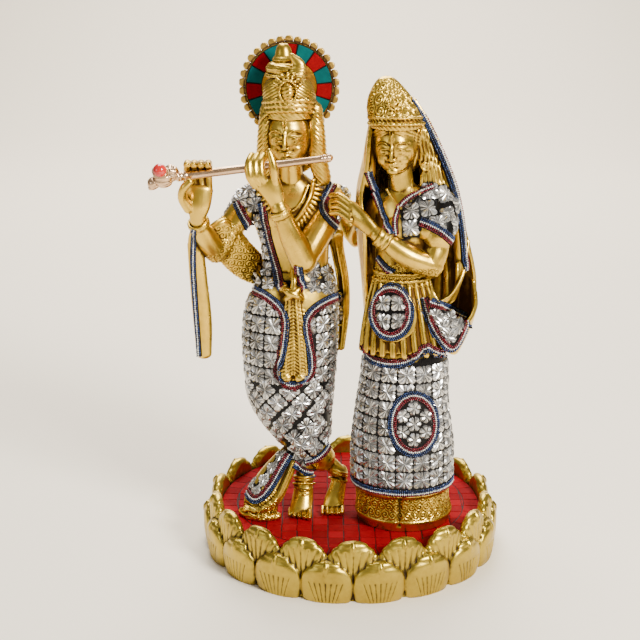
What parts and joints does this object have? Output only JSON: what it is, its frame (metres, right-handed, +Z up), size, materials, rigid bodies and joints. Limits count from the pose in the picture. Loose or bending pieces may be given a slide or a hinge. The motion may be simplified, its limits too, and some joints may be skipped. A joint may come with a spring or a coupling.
{
  "type": "radha krishna statue",
  "caption": "Cast brass group of a standing flute player and his companion on a round double lotus base with a stone floor, and a halo of stone chips.",
  "frame": {"origin": "centre of the lotus base's underside", "axes": "+Z up, the figures face -Y, +X towards the companion"},
  "size_m": [0.3715, 0.3268, 0.5566],
  "materials": {
    "brass": "polished cast brass with brown patina in the recesses",
    "pale_copper": "satin coppery brass",
    "red_stone": "flat red stone chips in black resin",
    "teal_stone": "flat teal stone chips in black resin"
  },
  "bodies": {
    "root": {"lotus_base": "brass", "stone_floor": "red_stone", "krishna_figure": "brass", "radha_figure": "brass", "halo_plate": "brass", "halo_chip_01": "red_stone", "halo_chip_02": "teal_stone", "halo_chip_03": "red_stone", "halo_chip_04": "teal_stone", "halo_chip_05": "red_stone", "halo_chip_06": "teal_stone", "halo_chip_07": "red_stone", "halo_chip_08": "teal_stone", "halo_chip_09": "red_stone", "halo_chip_10": "teal_stone", "halo_chip_11": "red_stone", "halo_chip_12": "teal_stone", "halo_chip_13": "red_stone", "flute": "pale_copper", "flute_gem": "red_stone"}
  },
  "joints": []
}
